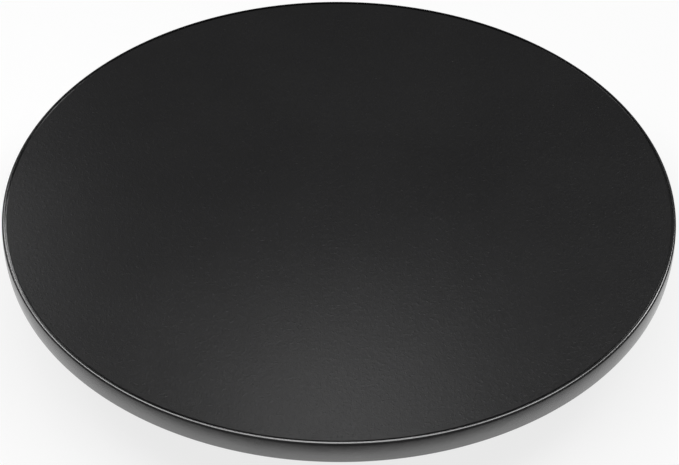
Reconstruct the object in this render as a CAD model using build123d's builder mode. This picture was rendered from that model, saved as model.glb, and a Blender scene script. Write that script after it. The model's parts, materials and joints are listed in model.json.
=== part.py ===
from build123d import *
import os
from math import acos, asin, cos, degrees, pi, radians, sin, tan

os.makedirs("parts", exist_ok=True)

# All sizes are in millimetres. The origin is on the surface that the feet stand on,
# on the spin axis, +Z up. The controls look towards +Y and the drive is on the -X side.

# Driving sizes of the base
foot_proud = 3.0  # how far the feet stand out of the tray
foot_r = 9.0
foot_recess = 1.2  # how deep a foot sits in the tray
foot_count = 6
foot_inset = 32.0  # from the tray's side in to the feet's centres
base_r = 130.0  # outside radius of tray and deck
tray_h = 24.0
tray_wall = 2.6
tray_floor = 3.0
tray_edge_r = 3.0
floor_rib_h = 2.5
deck_t = 3.0
deck_edge = 0.9
deck_lip_w = 2.0  # ring under the deck that centres it in the tray
deck_lip_h = 2.0
deck_rib_h = 3.5
deck_ring_inset = 33.0  # from the deck's side in to its stiffening ring
rib_t = 1.6
fit_gap = 0.2  # side play between parts that drop into each other
press_gap = 0.02  # between a part and the seat that grips it

# Driving sizes of the platter
platter_r = 175.0
rim_gap = 2.0  # from the deck's top up to the rim's lower edge
rim_h = 13.6
rim_corner_r = 1.2  # round-over at the rim's top
rim_wall_arc_r = 48.0  # crown of the rim's wall
rim_lean = 4.0  # slope of the wall in degrees where the round-over ends
rim_t = 2.8
rim_edge = 0.8  # chamfer at the rim's lower edge
lip_w = 0.2  # flat between the mat's recess and the round-over
mat_t = 1.2
mat_drop = 0.2  # the mat's face lies this far below the lip
mat_groove = 0.95  # open ring between mat and lip
mat_edge = 0.2
plate_t = 2.8
hub_r = 26.0
hub_rib_h = 2.2
mid_rib_h = 4.0
skirt_rib_h = 5.5
skirt_rib_count = 24
rib_count = 12

# Driving sizes of the support rollers and their track
roller_r = 7.0
roller_w = 6.0
roller_hub_r = 3.2
roller_dish = 1.0  # depth of the hollow in a roller's sides
roller_tyre_t = 1.6
roller_count = 6
roller_inset = 21.0  # from the deck's side in to the rollers' middles
roller_start = 30.0  # angle of the first roller, degrees
roller_sunk = 4.0  # roller axis below the deck's top
roller_pin_r = 1.5
roller_run = 0.05  # bore clearance on the pin
roller_play = 0.6  # space beside and around a roller in its pocket
pocket_wall = 2.4
pocket_below = 10.0  # pocket depth under the deck
track_lift = 0.1  # rolling clearance between roller and track
track_w = 12.0
track_t = 1.0
track_rebate = 0.7  # how far the track's seat reaches down beside it

# Driving sizes of the gears
pressure_angle = 20.0
ring_module = 2.5
ring_teeth = 54
drive_teeth = 12
ring_face_w = 4.2
ring_gap = 1.2  # from the deck's top up to the ring gear
ring_wall = 3.4  # material outside the tooth roots
ring_flange_w = 10.0
ring_flange_t = 2.5
ring_addendum = 0.6  # tooth height inside the pitch circle, in modules
tooth_sunk = 0.3  # how far a tooth's foot reaches into the gear's body, in modules
flank_steps = 3
gear_screw_count = 6
wheel_module = 1.25
wheel_teeth = 36
motor_teeth = 12
wheel_addendum = 0.75  # in modules, short so that the small pinion runs freely
wheel_w = 3.8
wheel_gap = 0.8  # from the wheel's face up to the deck
wheel_web_t = 2.0
dedendum = 1.25  # in modules
tooth_thinning = 0.14  # taken off each tooth at the pitch circle, for backlash
tooth_overlap = 0.2  # how far the pinions stand past their mates

# Driving sizes of the pivot
spindle_r = 6.0
spindle_flange_r = 23.0
spindle_flange_t = 2.4
spindle_collar_r = 9.5
spindle_screw_r = 17.0
spindle_screw_count = 4
spindle_screw_start = 45.0
spindle_run = 0.05
bush_wall = 2.0
bush_flange_t = 1.3
bush_flange_w = 3.0
thrust_t = 1.0
pivot_wall = 7.0
pivot_boss_h = 10.0  # under the deck
axial_play = 0.3
spindle_tail = 1.2  # how far the spindle stands past its clip
washer_t = 1.0
washer_w = 5.0
clip_t = 1.0
clip_w = 2.6
clip_bite = 0.7  # how deep a clip sits in its groove
clip_open = 70.0  # angle of a clip's mouth

# Driving sizes of the motor
motor_r = 17.5
motor_cup_h = 9.0
motor_case_h = 5.7
motor_case_inset = 1.5
motor_edge = 1.0
motor_ear_t = 0.8
motor_ear_gap = 0.5  # between the can and the bosses under its ears
motor_offset = 8.0  # the output shaft's distance from the motor's centre
motor_boss_r = 6.0
motor_boss_h = 1.0
motor_shaft_r = 2.5
motor_shaft_sunk = 3.5
nest_wall = 1.6
nest_h = 3.0
wire_cover = (9.0, 5.0, 6.0)

# Driving sizes of the idler gear's pin
idler_pin_r = 2.5
idler_boss_r = 5.5
idler_run = 0.06
idler_neck_r = 9.0
idler_washer_t = 0.8
idler_washer_w = 2.6
idler_play = 0.2
idler_clip_t = 0.8
idler_tail = 0.5
window_play = 1.2  # between the drive pinion and the deck's window

# Driving sizes of screws: shank radius, head radius, head height
m3 = (1.2, 2.8, 2.0)
m2 = (0.9, 1.9, 1.3)
head_taper = 8.0  # slope of a screw head's side in degrees
cross_len = 1.1  # a head's cross recess, in head radii
cross_wid = 0.28
cross_depth = 0.5  # in head heights
pilot_gap = 0.05
pilot_spare = 0.5  # a pilot hole's length past its screw, and the wall left at a blind end
clearance_gap = 0.4
screw_grip = 4.2  # how far a screw reaches into its boss
boss_r = 4.5
post_r = 4.9
post_inset = 11.0  # from the tray's side in to its posts
post_count = 6
post_joint = 6.0  # how far the deck's bosses reach down to the tray's posts
screw_sunk = 9.0  # depth of the screw heads in the tray's posts

# Driving sizes of the control panel at the back
flat_depth = 8.0  # how much of the round side the flat takes away
flat_wall = 2.5
panel_w = 84.0
panel_h = 18.0
panel_t = 1.5
panel_edge_r = 2.0
window_w = 72.0
window_h = 14.0
panel_screw_inset = 3.0
panel_boss_r = 2.4
panel_boss_h = 4.0
control_up = 12.5  # controls' centre above the tray's underside
jack_x = -29.0
rocker_x = -12.5
led_x = 0.0
button_x = 11.0
knob_x = 27.0
control_gap = 0.5  # between the middle controls and the roller's pocket behind them

# Driving sizes of the controls
jack_barrel_r = 4.0
jack_flange_r = 5.5
jack_flange_t = 1.5
jack_depth = 13.0
jack_bore_r = 3.15
jack_bore_depth = 9.5
jack_pin_r = 1.05
jack_nut_r = 5.6
jack_nut_t = 2.0
rocker_w = 15.0
rocker_h = 10.5
rocker_bezel_t = 1.4
rocker_body_w = 13.0
rocker_body_h = 9.0
rocker_tilt = 8.0
rocker_half = 5.4
rocker_wing = 2.6  # height of the rocker's ends over its pivot
rocker_slot = 6.2  # half width of the opening it moves in
rocker_t = 6.4
rocker_side_gap = 0.4
rocker_hollow = 1.4  # height of the rocker's dished face over its pivot
rocker_pin_r = 0.8
rocker_pin_reach = 0.6  # how far the pivot pins stand out of the rocker's sides
led_r = 2.5
led_flange_r = 3.0
led_body = 3.0
led_dome = 2.2
led_dome_r = 2.1
button_bezel_r = 4.8
button_bezel_t = 1.4
button_barrel_r = 3.4
button_cap_r = 2.3
button_run = 0.06
button_proud = 2.2
button_travel = 1.2
button_sunk = 5.0
pot_r = 6.0
pot_depth = 8.0
pot_bush_r = 3.2
pot_bush_proud = 3.4
pot_nut_r = 4.6
pot_nut_t = 1.6
pot_shaft_r = 2.0
pot_shaft_run = 0.05
pot_shaft_sunk = 5.0
knob_r = 7.5
knob_h = 10.5
knob_gap = 2.2  # from the panel's face to the knob
knob_socket = 4.0
knob_grooves = 18
knob_groove_r = 0.6
knob_edge_r = 1.0
knob_mark_w = 1.0

# Driving sizes of the control board
board_w = 80.0
board_d = 34.0
board_inset = 41.0  # from the flat in to the board's middle
board_t = 1.6
board_up = 3.0  # board above the tray's floor
board_hole_inset = 4.0
standoff_r = 3.0
chip = (9.0, 9.0, 1.6)
chip_x = -8.0
chip_legs = 6  # on each side
chip_leg = (1.6, 0.6, 0.4)
driver = (13.0, 12.0, 2.0)
driver_x = 18.0
sink_h = 5.0
sink_fins = 5
sink_fin_t = 1.2
capacitor_r = 4.0
capacitor_h = 8.5
capacitor_edge = 0.5
capacitor_x = 31.0
capacitor_pitch = 10.0
socket = (9.0, 6.0, 6.0)
socket_wall = 1.0
socket_y = 9.0  # from the board's middle line to its outer sockets
front_socket_y = 12.0
plug_proud = 1.5

# Driving sizes of the leads inside the base
lead_r = 0.7
lead_half = 0.9  # half the distance between the two leads of a pair
lead_rise = 3.4  # how far a lead stands up out of its plug before it turns
lead_bend_r = 1.8
motor_lead_z = 12.5
control_lead_down = 0.5  # the control leads leave this far below the controls' centre

# Levels and radii worked out from the driving sizes
foot_circle_r = base_r - foot_inset
deck_ring_r = base_r - deck_ring_inset
roller_circle_r = base_r - roller_inset
post_circle_r = base_r - post_inset
flat_y = base_r - flat_depth
board_y = flat_y - board_inset
tray_z = foot_proud
floor_z = tray_z + tray_floor
deck_z = tray_z + tray_h
deck_top_z = deck_z + deck_t
rim_z = deck_top_z + rim_gap
top_z = rim_z + rim_h
mat_z = top_z - mat_drop - mat_t
plate_z = mat_z - plate_t
lean = radians(rim_lean)
lip_r = platter_r - rim_corner_r * cos(lean) - rim_wall_arc_r * (1 - cos(lean))
recess_r = lip_r - lip_w
mat_r = recess_r - mat_groove
rim_inner_r = platter_r - rim_t
wall_drop = rim_h - rim_corner_r * (1 - sin(lean)) - rim_edge
wall_sweep = rim_lean + degrees(asin(wall_drop / rim_wall_arc_r - sin(lean)))

pin_z = deck_top_z - roller_sunk
track_z = pin_z + roller_r + track_lift
track_top_z = track_z + track_t
track_in_r = roller_circle_r - track_w / 2
track_out_r = roller_circle_r + track_w / 2
pocket_len = roller_w + 2 * roller_play
pocket_wid = 2 * (roller_r + roller_play)
pin_len = pocket_len + 2 * pocket_wall
roller_angles = [roller_start + 360 / roller_count * i for i in range(roller_count)]

ring_pitch_r = ring_module * ring_teeth / 2
drive_pitch_r = ring_module * drive_teeth / 2
idler_x = drive_pitch_r - ring_pitch_r
wheel_pitch_r = wheel_module * wheel_teeth / 2
motor_pitch_r = wheel_module * motor_teeth / 2
motor_shaft_x = idler_x - wheel_pitch_r - motor_pitch_r
motor_x = motor_shaft_x - motor_offset
ring_z = deck_top_z + ring_gap
ring_top_z = ring_z + ring_face_w
ring_root_r = ring_pitch_r + dedendum * ring_module
ring_out_r = ring_root_r + ring_wall
flange_z = ring_top_z - ring_flange_t
flange_out_r = ring_out_r + ring_flange_w
gear_screw_r = (ring_out_r + flange_out_r) / 2
register_in_r = flange_out_r + fit_gap
register_out_r = register_in_r + rib_t
wheel_top_z = deck_z - wheel_gap
wheel_z = wheel_top_z - wheel_w
drive_z = ring_z - tooth_overlap
drive_top_z = ring_top_z + tooth_overlap
window_r = drive_pitch_r + ring_module + window_play
idler_seat_z = wheel_z - idler_play - idler_washer_t

bush_r = spindle_r + spindle_run + bush_wall
pivot_boss_r = bush_r + pivot_wall
bush_z = deck_z - pivot_boss_h
thrust_z = deck_top_z + bush_flange_t
collar_z = thrust_z + thrust_t + axial_play
spindle_washer_z = bush_z - axial_play - washer_t
spindle_clip_z = spindle_washer_z - clip_t
motor_top_z = floor_z + motor_cup_h
case_top_z = motor_top_z + motor_case_h
motor_ear_reach = motor_r + motor_ear_gap + boss_r

panel_y = flat_y + panel_t
control_z = tray_z + control_up
control_back_y = roller_circle_r + pin_len / 2 + control_gap
rocker_depth = panel_y - control_back_y
button_depth = flat_y - control_back_y
board_z = floor_z + board_up
board_top_z = board_z + board_t
sockets = (
    (jack_x, board_y - socket_y),
    (jack_x, board_y + socket_y),
    (0, board_y + front_socket_y),
)
plug_z = board_top_z + socket_wall
plug_top_z = board_top_z + socket[2] + plug_proud
lead_top_z = plug_top_z + lead_rise


def save(piece, name):
    """Labels a finished piece and writes it under that name."""
    piece.part.label = name
    export_step(piece.part, f"parts/{name}.step")


def level(z):
    """Plane that faces up at this height."""
    return Plane.XY.offset(z)


def upright(y):
    """Plane at this y, with X to the right and Z up, that faces -Y."""
    return Plane.XZ.offset(-y)


def roll_angle(radius, base):
    """Angle in radians that an involute of this base circle has turned through at a radius."""
    slope = acos(base / radius)
    return tan(slope) - slope


def tooth_face(module, teeth, root_r, tip_r, thinning):
    """Sketch of one involute tooth that points along +X, rooted just inside root_r."""
    pitch_r = module * teeth / 2
    base = pitch_r * cos(radians(pressure_angle))
    half_pitch = (pi * module / 2 - thinning) / (2 * pitch_r) + roll_angle(pitch_r, base)
    start_r = max(root_r, base)
    foot_turn = half_pitch - roll_angle(start_r, base)
    foot = Vector(root_r - tooth_sunk * module, 0).rotate(Axis.Z, degrees(foot_turn))
    flank = []
    for i in range(flank_steps + 1):
        r = start_r + (tip_r - start_r) * i / flank_steps
        turn = half_pitch - roll_angle(r, base)
        flank.append((r * cos(turn), r * sin(turn)))
    with BuildSketch() as tooth:
        with BuildLine():
            upper = Spline(*flank)
            lower = Spline(*[(x, -y) for x, y in flank])
            ThreePointArc(upper @ 1, (tip_r, 0), lower @ 1)
            Polyline(upper @ 0, (foot.X, foot.Y), (foot.X, -foot.Y), lower @ 0)
        make_face()
    return tooth.sketch


def gear_face(module, teeth, root_r, tip_r, thinning, start=0.0):
    """Sketch of a whole gear, with a tooth at the start angle."""
    tooth = tooth_face(module, teeth, root_r, tip_r, thinning)
    with BuildSketch() as gear:
        Circle(root_r)
        with PolarLocations(0, teeth, start_angle=start):
            add(tooth)
    return gear.sketch


def ring_face(inner_r, outer_r):
    """Sketch of a flat ring."""
    with BuildSketch() as ring:
        Circle(outer_r)
        Circle(inner_r, mode=Mode.SUBTRACT)
    return ring.sketch


def corner_points(width, height, inset=0.0):
    """The four corners of a centred rectangle, moved inwards by the inset."""
    x, y = width / 2 - inset, height / 2 - inset
    return [(x, y), (-x, y), (-x, -y), (x, -y)]


def save_screws(name, plane, points, size, length):
    """Screws with their heads' undersides on the plane and their shanks along its normal."""
    shank_r, head_r, head_h = size
    with BuildPart() as screws:
        for x, y in points:
            place = Plane(plane.from_local_coords((x, y, 0)), plane.x_dir, plane.z_dir)
            with BuildSketch(place):
                Circle(shank_r)
            extrude(amount=length)
            with BuildSketch(place):
                Circle(head_r)
            extrude(amount=-head_h, taper=head_taper)
            with BuildSketch(place.offset(-head_h)):
                Rectangle(head_r * cross_len, head_r * cross_wid)
                Rectangle(head_r * cross_wid, head_r * cross_len)
            extrude(amount=head_h * cross_depth, mode=Mode.SUBTRACT)
    save(screws, name)


def save_clip(name, shaft_r, x, z, thickness, bite, width):
    """Retaining clip with an open mouth, gripping a shaft's groove."""
    with BuildPart() as clip:
        with BuildSketch(level(z)):
            with Locations((x, 0)):
                Circle(shaft_r + width)
                Circle(shaft_r - bite + press_gap, mode=Mode.SUBTRACT)
            with BuildLine():
                reach = 2 * (shaft_r + width)
                half = radians(clip_open / 2)
                Polyline(
                    (x, 0),
                    (x + reach * cos(half), reach * sin(half)),
                    (x + reach * cos(half), -reach * sin(half)),
                    close=True,
                )
            make_face(mode=Mode.SUBTRACT)
        extrude(amount=thickness)
    save(clip, name)


def save_leads(name, paths):
    """Round leads along straight runs joined by tangent bends."""
    with BuildPart() as leads:
        for points in paths:
            with BuildLine():
                run = FilletPolyline(*points, radius=lead_bend_r)
            with BuildSketch(Plane(origin=run @ 0, z_dir=run % 0)):
                Circle(lead_r)
            sweep(path=run)
    save(leads, name)


def base_outline(inset, back_inset):
    """Round outline of the base with its flat at the back, moved inwards."""
    with BuildSketch() as outline:
        Circle(base_r - inset)
        with Locations((0, flat_y - back_inset)):
            Rectangle(2 * base_r, base_r, align=(Align.CENTER, Align.MIN), mode=Mode.SUBTRACT)
    return outline.sketch


def polar(radius, count, start=0.0):
    """Points spaced evenly on a circle."""
    angles = [radians(start + 360 / count * i) for i in range(count)]
    return [(radius * cos(a), radius * sin(a)) for a in angles]


# Platter: a moulded disc with a rounded rim, a mat recess on top and ribs below
with BuildPart() as platter:
    with BuildSketch(Plane.XZ):
        with BuildLine():
            corner = JernArc((lip_r, top_z), (1, 0), rim_corner_r, -(90 - rim_lean))
            wall = JernArc(corner @ 1, corner % 1, rim_wall_arc_r, -wall_sweep)
            Polyline(
                wall @ 1,
                ((wall @ 1).X - rim_edge, rim_z),
                (rim_inner_r, rim_z),
                (rim_inner_r, plate_z),
                (0, plate_z),
                (0, mat_z),
                (recess_r, mat_z),
                (recess_r, top_z),
                corner @ 0,
            )
        make_face()
    revolve(axis=Axis.Z)
    with BuildSketch(level(ring_top_z)):
        Circle(hub_r)
        with PolarLocations(gear_screw_r, gear_screw_count):
            Circle(boss_r)
    extrude(amount=plate_z - ring_top_z)
    with BuildSketch(level(ring_top_z - ring_flange_t / 2)):
        add(ring_face(register_in_r, register_out_r))
    extrude(amount=plate_z - ring_top_z + ring_flange_t / 2)
    seat_r = track_out_r + fit_gap
    with BuildSketch(level(track_top_z)):
        add(ring_face(track_in_r, track_in_r + rib_t))
        add(ring_face(track_out_r - rib_t, seat_r + rib_t))
    extrude(amount=plate_z - track_top_z)
    with BuildSketch(level(track_top_z - track_rebate)):
        add(ring_face(seat_r, seat_r + rib_t))
    extrude(amount=track_rebate)
    rib_zones = (
        (hub_r, register_in_r, rib_count, hub_rib_h),
        (register_out_r, track_in_r, rib_count, mid_rib_h),
        (seat_r + rib_t, rim_inner_r, skirt_rib_count, skirt_rib_h),
    )
    for inner_r, outer_r, count, depth in rib_zones:
        with BuildSketch(level(plate_z - depth)):
            with PolarLocations((inner_r + outer_r) / 2, count, start_angle=180 / skirt_rib_count):
                Rectangle(outer_r - inner_r + rib_t, rib_t)
        extrude(amount=depth)
    with BuildSketch(level(ring_top_z)):
        with PolarLocations(gear_screw_r, gear_screw_count):
            Circle(m3[0] + pilot_gap)
        with PolarLocations(spindle_screw_r, spindle_screw_count, spindle_screw_start):
            Circle(m3[0] + pilot_gap)
    extrude(amount=screw_grip + pilot_spare, mode=Mode.SUBTRACT)
save(platter, "platter")

# Top mat: the fine-grained disc in the platter's recess
with BuildPart() as top_mat:
    with BuildSketch(level(mat_z)):
        Circle(mat_r)
    extrude(amount=mat_t)
    chamfer(top_mat.edges().group_by(Axis.Z)[-1], mat_edge)
save(top_mat, "top_mat")

# Ring gear: inward teeth that the drive pinion turns, with a screwed flange
with BuildPart() as ring_gear:
    with BuildSketch(level(ring_z)):
        Circle(ring_out_r)
    extrude(amount=ring_face_w)
    with BuildSketch(level(flange_z)):
        Circle(flange_out_r)
    extrude(amount=ring_flange_t)
    ring_tip_r = ring_pitch_r - ring_addendum * ring_module
    with BuildSketch(level(ring_z)):
        add(gear_face(ring_module, ring_teeth, ring_tip_r, ring_root_r, -tooth_thinning))
    extrude(amount=ring_face_w, mode=Mode.SUBTRACT)
    with BuildSketch(level(flange_z)):
        with PolarLocations(gear_screw_r, gear_screw_count):
            Circle(m3[0] + clearance_gap)
    extrude(amount=ring_flange_t, mode=Mode.SUBTRACT)
save(ring_gear, "ring_gear")
save_screws(
    "ring_gear_screws",
    level(flange_z),
    polar(gear_screw_r, gear_screw_count),
    m3,
    ring_flange_t + screw_grip,
)

# Track ring: the steel face that the rollers run on
with BuildPart() as track_ring:
    with BuildSketch(level(track_z)):
        add(ring_face(track_in_r, track_out_r))
    extrude(amount=track_t)
save(track_ring, "track_ring")

# Spindle: turned steel, flange against the platter's hub, shaft down through the bush
with BuildPart() as spindle:
    with BuildSketch(level(ring_top_z)):
        Circle(spindle_flange_r)
    extrude(amount=-spindle_flange_t)
    with BuildSketch(level(ring_top_z - spindle_flange_t)):
        Circle(spindle_collar_r)
    extrude(amount=collar_z - ring_top_z + spindle_flange_t)
    with BuildSketch(level(collar_z)):
        Circle(spindle_r)
    extrude(amount=spindle_clip_z - spindle_tail - collar_z)
    chamfer(spindle.edges().group_by(Axis.Z)[0], spindle_tail / 2)
    with BuildSketch(level(spindle_clip_z)):
        add(ring_face(spindle_r - clip_bite, spindle_r + clip_w))
    extrude(amount=clip_t, mode=Mode.SUBTRACT)
    with BuildSketch(level(ring_top_z)):
        with PolarLocations(spindle_screw_r, spindle_screw_count, spindle_screw_start):
            Circle(m3[0] + clearance_gap)
    extrude(amount=-spindle_flange_t, mode=Mode.SUBTRACT)
save(spindle, "spindle")
save_screws(
    "spindle_screws",
    level(ring_top_z - spindle_flange_t),
    polar(spindle_screw_r, spindle_screw_count, spindle_screw_start),
    m3,
    spindle_flange_t + screw_grip,
)

with BuildPart() as spindle_washer:
    with BuildSketch(level(spindle_washer_z)):
        add(ring_face(spindle_r + fit_gap, spindle_r + washer_w))
    extrude(amount=washer_t)
save(spindle_washer, "spindle_washer")
save_clip("spindle_clip", spindle_r, 0, spindle_clip_z, clip_t, clip_bite, clip_w)

# Pivot bush and the washer that takes the platter's thrust when it is pressed down
with BuildPart() as pivot_bush:
    with BuildSketch(level(bush_z)):
        Circle(bush_r)
    extrude(amount=deck_top_z - bush_z)
    with BuildSketch(level(deck_top_z)):
        Circle(bush_r + bush_flange_w)
    extrude(amount=bush_flange_t)
    with BuildSketch(level(bush_z)):
        Circle(spindle_r + spindle_run)
    extrude(amount=thrust_z - bush_z, mode=Mode.SUBTRACT)
save(pivot_bush, "pivot_bush")

with BuildPart() as thrust_washer:
    with BuildSketch(level(thrust_z)):
        add(ring_face(spindle_r + fit_gap, bush_r + bush_flange_w - fit_gap))
    extrude(amount=thrust_t)
save(thrust_washer, "thrust_washer")

# Base tray: the lower casing, with posts, nests and bosses for all that it carries
with BuildPart() as base_tray:
    with BuildSketch(level(tray_z)):
        add(base_outline(0, 0))
    extrude(amount=tray_h)
    fillet(base_tray.edges().group_by(Axis.Z)[0], tray_edge_r)
    with BuildSketch(level(floor_z)):
        add(base_outline(tray_wall, flat_wall))
    extrude(amount=deck_z - floor_z, mode=Mode.SUBTRACT)
    with BuildSketch(level(floor_z)):
        with PolarLocations(base_r / 2, roller_count, start_angle=roller_start):
            Rectangle(base_r - tray_wall, rib_t)
        add(base_outline(tray_wall / 2, flat_wall / 2), mode=Mode.INTERSECT)
    extrude(amount=floor_rib_h)
    with BuildSketch(level(floor_z)):
        with PolarLocations(post_circle_r, post_count):
            Circle(post_r)
    extrude(amount=deck_z - post_joint - floor_z)
    with BuildSketch(level(floor_z)):
        with Locations((motor_x, motor_ear_reach), (motor_x, -motor_ear_reach)):
            Circle(boss_r)
    extrude(amount=motor_cup_h)
    with BuildSketch(level(floor_z)):
        with Locations((motor_x, 0)):
            add(ring_face(motor_r + fit_gap, motor_r + fit_gap + nest_wall))
    extrude(amount=nest_h)
    with BuildSketch(level(floor_z)):
        with Locations((idler_x, 0)):
            Circle(idler_boss_r)
    extrude(amount=idler_seat_z - floor_z)
    with BuildSketch(level(floor_z)):
        with Locations((0, board_y)):
            with Locations(*corner_points(board_w, board_d, board_hole_inset)):
                Circle(standoff_r)
    extrude(amount=board_up)
    with BuildSketch(upright(flat_y)):
        with Locations((0, control_z)):
            with Locations(*corner_points(panel_w, panel_h, panel_screw_inset)):
                Circle(panel_boss_r)
    extrude(amount=flat_wall + panel_boss_h)
    with BuildSketch(upright(flat_y)):
        with Locations((0, control_z)):
            RectangleRounded(window_w, window_h, panel_edge_r)
    extrude(amount=flat_wall, mode=Mode.SUBTRACT)
    with BuildSketch(upright(flat_y)):
        with Locations((0, control_z)):
            with Locations(*corner_points(panel_w, panel_h, panel_screw_inset)):
                Circle(m2[0] + pilot_gap)
    extrude(amount=flat_wall + panel_boss_h - pilot_spare, mode=Mode.SUBTRACT)
    with BuildSketch(level(tray_z)):
        with PolarLocations(foot_circle_r, foot_count, start_angle=roller_start):
            Circle(foot_r + press_gap)
    extrude(amount=foot_recess, mode=Mode.SUBTRACT)
    with BuildSketch(level(tray_z)):
        with PolarLocations(post_circle_r, post_count):
            Circle(m3[1] + clearance_gap)
    extrude(amount=screw_sunk, mode=Mode.SUBTRACT)
    with BuildSketch(level(tray_z)):
        with PolarLocations(post_circle_r, post_count):
            Circle(m3[0] + clearance_gap)
    extrude(amount=tray_h, mode=Mode.SUBTRACT)
    with BuildSketch(level(motor_top_z)):
        with Locations((motor_x, motor_ear_reach), (motor_x, -motor_ear_reach)):
            Circle(m3[0] + pilot_gap)
    extrude(amount=-screw_grip - pilot_spare, mode=Mode.SUBTRACT)
    with BuildSketch(level(idler_seat_z)):
        with Locations((idler_x, 0)):
            Circle(idler_pin_r + press_gap)
    extrude(amount=floor_z - idler_seat_z, mode=Mode.SUBTRACT)
    with BuildSketch(level(board_z)):
        with Locations((0, board_y)):
            with Locations(*corner_points(board_w, board_d, board_hole_inset)):
                Circle(m2[0] + pilot_gap)
    extrude(amount=-board_up - tray_floor / 2, mode=Mode.SUBTRACT)
save(base_tray, "base_tray")

# Rubber feet, domed at their rim
with BuildPart() as rubber_feet:
    with BuildSketch():
        with PolarLocations(foot_circle_r, foot_count, start_angle=roller_start):
            Circle(foot_r)
    extrude(amount=foot_proud + foot_recess)
    chamfer(rubber_feet.edges().group_by(Axis.Z)[0], foot_proud / 3)
save(rubber_feet, "rubber_feet")

# Top deck: closes the tray and carries the bush and the roller pockets
with BuildPart() as top_deck:
    with BuildSketch(level(deck_z)):
        add(base_outline(0, 0))
    extrude(amount=deck_t)
    chamfer(top_deck.edges().group_by(Axis.Z)[-1], deck_edge)
    with BuildSketch(level(deck_z)):
        add(base_outline(tray_wall + fit_gap, flat_wall + fit_gap))
        lip_back = flat_wall + fit_gap + deck_lip_w
        add(base_outline(tray_wall + fit_gap + deck_lip_w, lip_back), mode=Mode.SUBTRACT)
    extrude(amount=-deck_lip_h)
    with BuildSketch(level(deck_z)):
        with PolarLocations(post_circle_r, post_count):
            Circle(post_r)
    extrude(amount=-post_joint)
    with BuildSketch(level(deck_z)):
        Circle(pivot_boss_r)
    extrude(amount=-pivot_boss_h)
    rib_end_r = roller_circle_r - pocket_len / 2
    with BuildSketch(level(deck_z)):
        with PolarLocations(rib_end_r / 2, roller_count, start_angle=roller_start):
            Rectangle(rib_end_r, rib_t)
        add(ring_face(deck_ring_r - rib_t / 2, deck_ring_r + rib_t / 2))
    extrude(amount=-deck_rib_h)
    with BuildSketch(level(deck_z)):
        with PolarLocations(roller_circle_r, roller_count, start_angle=roller_start):
            RectangleRounded(pin_len, pocket_wid + 2 * pocket_wall, pocket_wall)
    extrude(amount=-pocket_below)
    with BuildSketch(level(deck_top_z)):
        with PolarLocations(roller_circle_r, roller_count, start_angle=roller_start):
            Rectangle(pocket_len, pocket_wid)
    extrude(amount=-deck_t - pocket_below, mode=Mode.SUBTRACT)
    for angle in roller_angles:
        across = Plane.XY.rotated((0, 0, angle)).offset(pin_z)
        slot_plane = Plane(across.origin, across.y_dir, across.x_dir).offset(
            roller_circle_r - pin_len / 2
        )
        with BuildSketch(slot_plane):
            Circle(roller_pin_r + press_gap)
            with Locations((0, 0)):
                Rectangle(
                    2 * (roller_pin_r + press_gap),
                    roller_sunk,
                    align=(Align.CENTER, Align.MIN),
                )
        extrude(amount=pin_len, mode=Mode.SUBTRACT)
    with BuildSketch(level(deck_top_z)):
        Circle(bush_r + press_gap)
        with Locations((idler_x, 0)):
            Circle(window_r)
    extrude(amount=bush_z - deck_top_z, mode=Mode.SUBTRACT)
    with BuildSketch(level(deck_z - post_joint)):
        with PolarLocations(post_circle_r, post_count):
            Circle(m3[0] + pilot_gap)
    extrude(amount=post_joint + deck_t / 2, mode=Mode.SUBTRACT)
save(top_deck, "top_deck")
save_screws(
    "deck_screws",
    level(tray_z + screw_sunk),
    polar(post_circle_r, post_count),
    m3,
    deck_z - tray_z - screw_sunk,
)

# Support rollers on radial pins, with a hub, a dished web and a tyre
with BuildPart() as roller_pins:
    for angle in roller_angles:
        outward = Vector(1, 0, 0).rotate(Axis.Z, angle)
        start = outward * (roller_circle_r - pin_len / 2) + Vector(0, 0, pin_z)
        with BuildSketch(Plane(start, z_dir=outward)):
            Circle(roller_pin_r)
        extrude(amount=pin_len)
save(roller_pins, "roller_pins")

for number, angle in enumerate(roller_angles, start=1):
    outward = Vector(1, 0, 0).rotate(Axis.Z, angle)
    middle = outward * roller_circle_r + Vector(0, 0, pin_z)
    with BuildPart() as roller:
        with BuildSketch(Plane(middle, z_dir=outward)):
            Circle(roller_r)
        extrude(amount=roller_w / 2, both=True)
        for side in (-1, 1):
            with BuildSketch(Plane(middle + outward * side * roller_w / 2, z_dir=outward)):
                Circle(roller_r - roller_tyre_t)
                Circle(roller_hub_r, mode=Mode.SUBTRACT)
            extrude(amount=-side * roller_dish, mode=Mode.SUBTRACT)
        with BuildSketch(Plane(middle, z_dir=outward)):
            Circle(roller_pin_r + roller_run)
        extrude(amount=roller_w / 2, both=True, mode=Mode.SUBTRACT)
    save(roller, f"roller_{number}")

# Idler: a fixed pin, and the moulded gear with its large wheel and the drive pinion
with BuildPart() as idler_pin:
    idler_clip_z = drive_top_z + idler_play
    with BuildSketch(level(floor_z)):
        with Locations((idler_x, 0)):
            Circle(idler_pin_r)
    extrude(amount=idler_clip_z + idler_clip_t + idler_tail - floor_z)
    with BuildSketch(level(idler_clip_z)):
        with Locations((idler_x, 0)):
            add(ring_face(idler_pin_r - clip_bite, idler_pin_r + clip_w))
    extrude(amount=idler_clip_t, mode=Mode.SUBTRACT)
save(idler_pin, "idler_pin")
save_clip("idler_clip", idler_pin_r, idler_x, idler_clip_z, idler_clip_t, clip_bite, clip_w)

with BuildPart() as idler_washer:
    with BuildSketch(level(idler_seat_z)):
        with Locations((idler_x, 0)):
            add(ring_face(idler_pin_r + press_gap, idler_pin_r + idler_washer_w))
    extrude(amount=idler_washer_t)
save(idler_washer, "idler_washer")

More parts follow.
